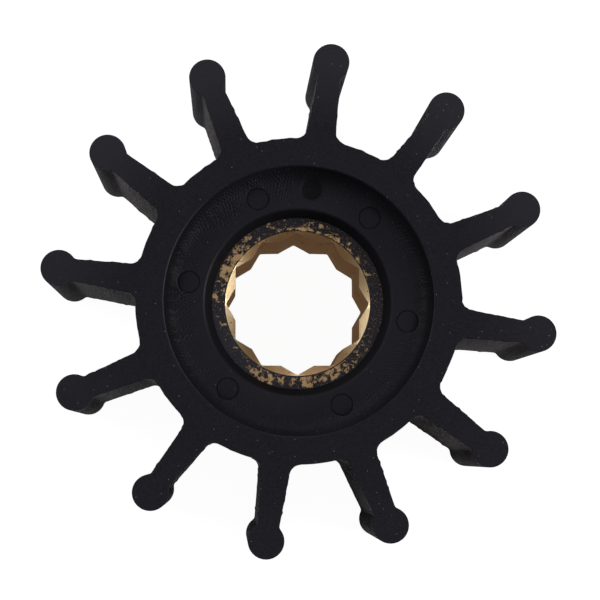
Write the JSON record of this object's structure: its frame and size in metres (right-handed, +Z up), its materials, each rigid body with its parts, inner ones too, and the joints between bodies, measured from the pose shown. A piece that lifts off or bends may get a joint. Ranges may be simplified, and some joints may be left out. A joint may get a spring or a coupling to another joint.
{
  "type": "rubber pump impeller",
  "caption": "Flexible rubber impeller for a raw-water pump: straight radial blades with round bulb tips on a hub, bonded on a bronze insert with a multi-point drive bore.",
  "frame": {"origin": "centre of the lower end face, on the bore axis", "axes": "+Z up the bore axis from the lower to the upper end face; +X along the middle of one blade; +Y towards the dimple in the upper recess"},
  "size_m": [0.095, 0.095, 0.0635],
  "materials": {
    "rubber": "matt moulded black rubber with a fine bloom",
    "bronze": "machined bronze, bright in the bore, film of black rubber worn through on its end faces"
  },
  "bodies": {
    "root": {"rubber_impeller": "rubber", "bronze_insert": "bronze"}
  },
  "joints": []
}
